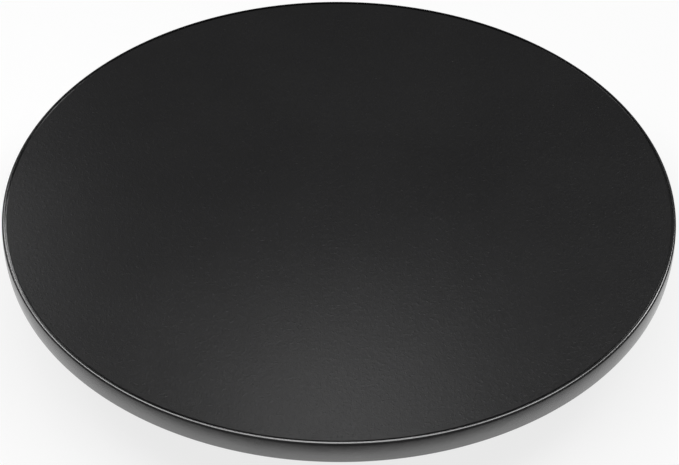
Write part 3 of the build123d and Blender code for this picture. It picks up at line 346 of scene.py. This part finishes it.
def plated_sheet(look):
    """The motor's zinc-plated can: a crystal pattern, with draw marks up its side."""
    spangle = look.cells(260)
    drawn = look.lines((2400, 2400, 60), rough=0.65)
    look.set(Base_Color=look.mix(look.span(spangle, 0.1, 0.8),
                                 (0.50, 0.51, 0.53), (0.60, 0.60, 0.58)),
             Roughness=look.span(drawn, 0.3, 0.7, start=0.26, end=0.40))
    look.bump(drawn, 0.02 * MM, strength=0.5)


def rubber_look(look):
    """Rubber with a pale bloom."""
    bloom = look.span(look.noise(190, detail=5.0, rough=0.7), 0.48, 0.75)
    look.set(Base_Color=look.mix(bloom, (0.030, 0.030, 0.031), (0.075, 0.074, 0.072)),
             Roughness=look.span(bloom, 0.0, 1.0, start=0.72, end=0.85))
    look.bump(look.noise(1300, rough=0.6), 0.07 * MM, strength=0.6)


def satin_control(look):
    """Satin control plastic, a little polished by fingers."""
    rub = look.span(look.noise(620, detail=4.0, rough=0.7), 0.52, 0.76)
    colour = look.mix(look.noise(80), (0.017, 0.017, 0.018), (0.026, 0.026, 0.027))
    look.set(Base_Color=look.mix(look.times(rub, 0.35), colour, (0.060, 0.058, 0.056)),
             Roughness=look.span(rub, 0.0, 1.0, start=0.38, end=0.26))
    look.bump(look.noise(2300, detail=2.0), 0.03 * MM, strength=0.5)


def panel_look(look):
    """The panel's plastic, with a printed scale of ticks round the speed knob."""
    moulded(look, (0.016, 0.016, 0.017), (0.022, 0.022, 0.023), 0.46, grain=2200, depth=0.03 * MM)
    radius, angle = look.dial(KNOB_X, CONTROL_Z)
    step = look.math("DIVIDE", angle, SCALE_STEP)
    off = look.math("ABSOLUTE", look.math("SUBTRACT", step, look.math("ROUND", step)))
    sideways = look.times(look.times(off, SCALE_STEP), radius)
    ticks = look.times(look.below(sideways, TICK_HALF_W),
                       look.below(look.math("ABSOLUTE", angle), SCALE_END))
    ticks = look.times(ticks, look.between(radius, TICK_INNER_R, TICK_OUTER_R))
    look.print_over(look.times(ticks, look.outer_face(PANEL_Y - PRINT_DEPTH)), rough=0.5)


def knob_look(look):
    """The speed knob with its printed pointer."""
    satin_control(look)
    across, _, height = look.parts()
    pointer = look.times(look.between(across, KNOB_X - POINTER_HALF_W, KNOB_X + POINTER_HALF_W),
                         look.above(height, CONTROL_Z))
    look.print_over(look.times(pointer, look.outer_face(KNOB_FACE_Y)), rough=0.45)


def rocker_look(look):
    """The rocker with its printed ring for off and bar for on."""
    satin_control(look)
    radius, _ = look.dial(ROCKER_X - MARK_OFFSET, CONTROL_Z)
    ring = look.between(radius, OFF_RING_INNER_R, OFF_RING_OUTER_R)
    across, _, height = look.parts()
    bar_x = ROCKER_X + MARK_OFFSET
    bar = look.times(look.between(across, bar_x - ON_BAR_HALF_W, bar_x + ON_BAR_HALF_W),
                     look.between(height, CONTROL_Z - ON_BAR_HALF_H, CONTROL_Z + ON_BAR_HALF_H))
    look.print_over(look.math("MAXIMUM", ring, bar), rough=0.45)


def button_look(look):
    """The direction button's grey plastic, dulled in patches by fingers."""
    rub = look.span(look.noise(500, detail=4.0), 0.5, 0.75)
    look.set(Base_Color=look.mix(rub, (0.33, 0.33, 0.34), (0.40, 0.40, 0.40)),
             Roughness=look.span(rub, 0.0, 1.0, start=0.24, end=0.34))
    look.bump(look.noise(900, detail=2.0), 0.03 * MM, strength=0.4)


def lens_look(look):
    """The indicator's green lens, half clear."""
    swirl = look.noise(700)
    look.set(Base_Color=look.mix(swirl, (0.09, 0.30, 0.08), (0.16, 0.44, 0.12)),
             Roughness=look.span(swirl, 0.3, 0.7, start=0.10, end=0.18))
    look.shader.inputs["Transmission Weight"].default_value = 0.35
    look.bump(swirl, 0.02 * MM, strength=0.3)


def board_look(look):
    """Green lacquer over copper: right-angled traces, and a glass weave under it."""
    node = look.tree.nodes.new("ShaderNodeTexBrick")
    look.feed(node.inputs["Vector"], look.scaled(150, 150, 150))
    node.inputs["Scale"].default_value = 1.0
    node.inputs["Mortar Size"].default_value = 0.055
    traces = node.outputs["Fac"]
    weave = look.lines((2500, 2500, 400), rough=0.5, detail=2.0)
    colour = look.mix(weave, (0.010, 0.085, 0.035), (0.014, 0.115, 0.048))
    look.set(Base_Color=look.mix(traces, colour, (0.035, 0.190, 0.075)),
             Roughness=look.span(weave, 0.3, 0.7, start=0.22, end=0.30))
    raised = look.bump(traces, 0.05 * MM, strength=0.6)
    look.bump(weave, 0.02 * MM, strength=0.3, under=raised)


def chip_look(look):
    """The chips' fine-blasted black resin."""
    grit = look.noise(3000, detail=2.0)
    look.set(Base_Color=look.mix(grit, (0.014, 0.014, 0.015), (0.028, 0.028, 0.029)),
             Roughness=look.span(grit, 0.3, 0.7, start=0.50, end=0.62))
    look.bump(grit, 0.03 * MM, strength=0.6)


def anodised(look):
    """Black anodised aluminium with the lines of its extrusion."""
    drawn = look.lines((300, 6000, 6000))
    look.set(Base_Color=look.mix(drawn, (0.10, 0.10, 0.11), (0.17, 0.17, 0.18)),
             Roughness=look.span(drawn, 0.3, 0.7, start=0.32, end=0.46))
    look.bump(drawn, 0.02 * MM, strength=0.5)


def lead_look(look):
    """Lead covers: black, but red in a strip beside the inlet's middle, where its inner lead is."""
    across = look.parts()[0]
    fine = look.noise(1200, detail=2.0)
    black = look.mix(fine, (0.020, 0.020, 0.020), (0.032, 0.032, 0.032))
    red = look.mix(fine, (0.30, 0.020, 0.015), (0.38, 0.030, 0.022))
    look.set(Base_Color=look.mix(look.between(across, JACK_X, JACK_X + RED_STRIP_W), black, red),
             Roughness=look.span(fine, 0.3, 0.7, start=0.34, end=0.46))
    look.bump(fine, 0.03 * MM, strength=0.4)


def can_look(look):
    """A capacitor's dark sleeve, with its bare bright top."""
    wrinkle = look.noise(900)
    sleeve = look.mix(wrinkle, (0.020, 0.024, 0.040), (0.030, 0.034, 0.055))
    top = look.facing_up()
    look.set(Base_Color=look.mix(top, sleeve, (0.58, 0.58, 0.59)), Metallic=top,
             Roughness=look.span(wrinkle, 0.3, 0.7, start=0.28, end=0.38))
    look.bump(wrinkle, 0.03 * MM, strength=0.4)


def plain(**settings):
    return lambda look: moulded(look, **settings)


# One look for each material slot of the record
looks = {
    "mat": mat_look,
    "platter_shell": shell_look,
    "gear_plastic": gear_look,
    "steel": ground_steel,
    "screw_steel": black_zinc,
    "bush_bronze": porous_bronze,
    "slide_plastic": plain(dark=(0.60, 0.59, 0.55), pale=(0.68, 0.67, 0.62), rough=0.34),
    "base_plastic": plain(dark=(0.016, 0.016, 0.017), pale=(0.023, 0.023, 0.024), rough=0.52,
                          dusty=0.10),
    "roller_plastic": plain(dark=(0.40, 0.40, 0.39), pale=(0.50, 0.50, 0.48), rough=0.45,
                            dusty=0.15),
    "foot_rubber": rubber_look,
    "motor_metal": plated_sheet,
    "brass": brass_look,
    "nickel": nickel_look,
    "control_plastic": satin_control,
    "button_plastic": button_look,
    "led": lens_look,
    "board": board_look,
    "chip_plastic": chip_look,
    "heat_sink": anodised,
    "capacitor_can": can_look,
    "lead_cover": lead_look,
    "socket_plastic": plain(dark=(0.62, 0.59, 0.50), pale=(0.70, 0.67, 0.58), rough=0.40),
}
# Nodes that carry print over their slot's look
printed = {
    "control_panel": panel_look,
    "speed_knob": knob_look,
    "power_rocker": rocker_look,
}
METALS = ("steel", "screw_steel", "bush_bronze", "motor_metal", "brass", "nickel", "heat_sink")
PLASTIC_IOR = 1.5
GLOSSY_SHELL_IOR = 2.3

materials = {}
for name, paint in {**looks, **printed}.items():
    look = Look(name, metallic=1.0 if name in METALS else 0.0,
                ior=GLOSSY_SHELL_IOR if name == "platter_shell" else PLASTIC_IOR)
    paint(look)
    materials[name] = look.material

for part in frame["record"]["subparts"]:
    mesh = frame["nodes"][part["node"]].data
    mesh.materials.clear()
    mesh.materials.append(materials.get(part["node"]) or materials[part["material_slot"]])


# The platter again, its moulded rim turned finely enough for the light to run round it unbroken
RIM_SEGMENTS = 720
WALL_STEPS = 20
CORNER_STEPS = 12
SKIN = 0.02 * MM  # how far the turned rim stays inside the moulded one's radius
NEAR = 0.05 * MM
FLAT_NORMAL = 0.99
SHARP_ANGLE = math.radians(28)


def arc(centre, radius, start, end, steps):
    """Points (radius, height) from start to end, both in, on an arc of the rim's section."""
    angles = [start + (end - start) * i / steps for i in range(steps + 1)]
    return [(centre[0] + radius * math.cos(a), centre[1] + radius * math.sin(a)) for a in angles]


def rim_profile():
    """(radius, height) from the rim's lower inner edge, up the wall and over the lip, into the
    mat's recess."""
    corner_r = (PLATTER_R - RIM_CORNER_R * math.cos(RIM_LEAN)
                - RIM_CROWN_R * (1 - math.cos(RIM_LEAN)))
    corner_z = TOP_Z - RIM_CORNER_R
    crown_r = PLATTER_R - RIM_CROWN_R
    crown_z = corner_z + (RIM_CORNER_R - RIM_CROWN_R) * math.sin(RIM_LEAN)
    low = math.asin((RIM_Z + RIM_EDGE - crown_z) / RIM_CROWN_R)
    wall = arc((crown_r, crown_z), RIM_CROWN_R, low, RIM_LEAN, WALL_STEPS)
    corner = arc((corner_r, corner_z), RIM_CORNER_R, RIM_LEAN, math.pi / 2, CORNER_STEPS)[1:]
    edge_r = wall[0][0] - RIM_EDGE
    return ([(RIM_INNER_R, RIM_Z), (edge_r, RIM_Z)] + [(r - SKIN, z) for r, z in wall + corner]
            + [(corner_r - LIP_W, TOP_Z), (corner_r - LIP_W, RECESS_Z)])


def on_rim(face):
    """True for the rim's faces, but not for the flat of the mat's recess."""
    middle = face.calc_center_median()
    recess = abs(face.normal.z) > FLAT_NORMAL and abs(middle.z - RECESS_Z) < NEAR
    return math.hypot(middle.x, middle.y) > RIM_INNER_R + NEAR and not recess


def turned_platter():
    shape = bmesh.new()
    shape.from_mesh(frame["nodes"]["platter"].data)
    bmesh.ops.delete(shape, geom=[face for face in shape.faces if on_rim(face)], context="FACES")
    turns = [2 * math.pi * i / RIM_SEGMENTS for i in range(RIM_SEGMENTS)]
    rings = []
    for radius, height in rim_profile():
        rings.append([shape.verts.new((radius * math.cos(t), radius * math.sin(t), height))
                      for t in turns])
    for inner, outer in zip(rings, rings[1:]):
        for i in range(RIM_SEGMENTS):
            j = (i + 1) % RIM_SEGMENTS
            shape.faces.new((inner[i], inner[j], outer[j], outer[i]))
    for face in shape.faces:
        face.smooth = True
    mesh = bpy.data.meshes.new("platter_turned")
    shape.to_mesh(mesh)
    shape.free()
    mesh.set_sharp_from_angle(angle=SHARP_ANGLE)
    mesh.materials.append(materials["platter_shell"])
    platter = bpy.data.objects.new("platter_turned", mesh)
    bpy.context.scene.collection.objects.link(platter)
    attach(platter, "platter")
    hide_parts("platter")


turned_platter()


# Floor, world, lights and camera
FLOOR_HALF = 4.0
FLOOR_Z = -0.1 * MM
SEEN_WHITE = 0.80
# The floor's painted reflection: a glow that only glossy rays see, full out to the first radius and
# fading to the surround's level by the second
PAINTED_GLOW_R = 198 * MM
PAINTED_GLOW_FADE_R = 233 * MM
PAINTED_GLOW = 1.0
SURROUND_GLOW = 0.08


def backdrop():
    """A pale floor with the object's soft shadow, clear from below. To glossy rays it glows
    instead, a painted reflection:
    bright near the object and fading to a dim glow further out, so the rim's reflection of it
    darkens away from the object."""
    mesh = bpy.data.meshes.new("floor")
    corners = [(-1, -1), (1, -1), (1, 1), (-1, 1)]
    mesh.from_pydata([(x * FLOOR_HALF, y * FLOOR_HALF, FLOOR_Z) for x, y in corners],
                     [], [(0, 1, 2, 3)])
    floor = bpy.data.objects.new("floor", mesh)
    bpy.context.scene.collection.objects.link(floor)
    look = Look("floor")
    new = look.tree.nodes.new
    link = look.tree.links.new
    look.set(Base_Color=(0.9, 0.9, 0.9), Roughness=1.0)
    look.shader.inputs["Specular IOR Level"].default_value = 0.0
    rays = new("ShaderNodeLightPath")
    faces = new("ShaderNodeNewGeometry")
    white = new("ShaderNodeEmission")
    # Painted reflection: an emission seen only by glossy rays, fading with distance from the
    # platter's axis
    glossy_glow = new("ShaderNodeEmission")
    clear = new("ShaderNodeBsdfTransparent")
    distance = look.parts(look.polar())[0]
    link(look.span(distance, PAINTED_GLOW_R, PAINTED_GLOW_FADE_R, PAINTED_GLOW, SURROUND_GLOW),
         glossy_glow.inputs["Strength"])
    seen = look.times(rays.outputs["Is Camera Ray"], SEEN_WHITE)
    surface = look.shader
    for factor, other in ((seen, white), (rays.outputs["Is Glossy Ray"], glossy_glow),
                          (faces.outputs["Backfacing"], clear)):
        mixed = new("ShaderNodeMixShader")
        link(factor, mixed.inputs[0])
        link(surface.outputs[0], mixed.inputs[1])
        link(other.outputs[0], mixed.inputs[2])
        surface = mixed
    link(surface.outputs[0], look.tree.nodes["Material Output"].inputs["Surface"])
    mesh.materials.append(look.material)


def surroundings(level):
    """A dim even world for the light, seen as white by the camera."""
    world = bpy.data.worlds.new("studio")
    bpy.context.scene.world = world
    world.use_nodes = True
    tree = world.node_tree
    background = tree.nodes["Background"]
    background.inputs["Color"].default_value = (1, 1, 1, 1)
    rays = tree.nodes.new("ShaderNodeLightPath")
    strength = tree.nodes.new("ShaderNodeMapRange")
    tree.links.new(rays.outputs["Is Camera Ray"], strength.inputs[0])
    strength.inputs["To Min"].default_value = level
    tree.links.new(strength.outputs[0], background.inputs["Strength"])


def softbox(name, place, target, width, height, watts):
    lamp = bpy.data.lights.new(name, "AREA")
    lamp.shape = "RECTANGLE"
    lamp.size, lamp.size_y, lamp.energy = width, height, watts
    box = bpy.data.objects.new(name, lamp)
    bpy.context.scene.collection.objects.link(box)
    aim = (Vector(target) - Vector(place)).to_track_quat("-Z", "Y")
    box.matrix_world = Matrix.Translation(place) @ aim.to_matrix().to_4x4()


backdrop()
surroundings(SURROUND_GLOW)
softbox("overhead", place=(0, 0, 1.6), target=(0, 0, 0), width=3.0, height=0.9, watts=25)
softbox("back_box", place=(0, 0.02, 0.255), target=(0, -0.18, 0.045),
        width=0.12, height=0.08, watts=0.12)
softbox("left_box", place=(-0.25, 0.18, 0.255), target=(-0.18, -0.02, 0.045),
        width=0.08, height=0.08, watts=0.085)
softbox("left_panel", place=(-1.05, 0.45, 1.0), target=(0, 0, 0.03),
        width=0.6, height=0.6, watts=3.5)
softbox("right_panel", place=(1.04, 0.67, 1.0), target=(0, 0, 0.03),
        width=0.5, height=0.5, watts=4.5)

# The camera stands 8 platter radii from the middle of the mat, aimed a little nearer than it
CAMERA_DISTANCE = 8 * PLATTER_R
ELEVATION = math.radians(40.86)
AIMED_LOW = math.radians(0.652)
ROLL = math.radians(0.27)
PICTURE_WIDTH = 679
FOCAL_PIXELS = 2688.4
MIDDLE_OFF_PIXELS = 0.6  # how far the platter's middle stands left of the picture's
camera_data = bpy.data.cameras.new("camera")
camera_data.lens = camera_data.sensor_width * FOCAL_PIXELS / PICTURE_WIDTH
camera = bpy.data.objects.new("camera", camera_data)
bpy.context.scene.collection.objects.link(camera)
camera_y = -CAMERA_DISTANCE * math.cos(ELEVATION)
camera_z = TOP_Z + CAMERA_DISTANCE * math.sin(ELEVATION)
camera.matrix_world = (
    Matrix.Translation((0, camera_y, camera_z))
    @ Matrix.Rotation(math.pi / 2 - ELEVATION - AIMED_LOW, 4, "X")
    @ Matrix.Rotation(-MIDDLE_OFF_PIXELS / FOCAL_PIXELS, 4, "Y")
    @ Matrix.Rotation(ROLL, 4, "Z")
)
bpy.context.scene.camera = camera
bpy.context.scene.view_settings.view_transform = "Standard"
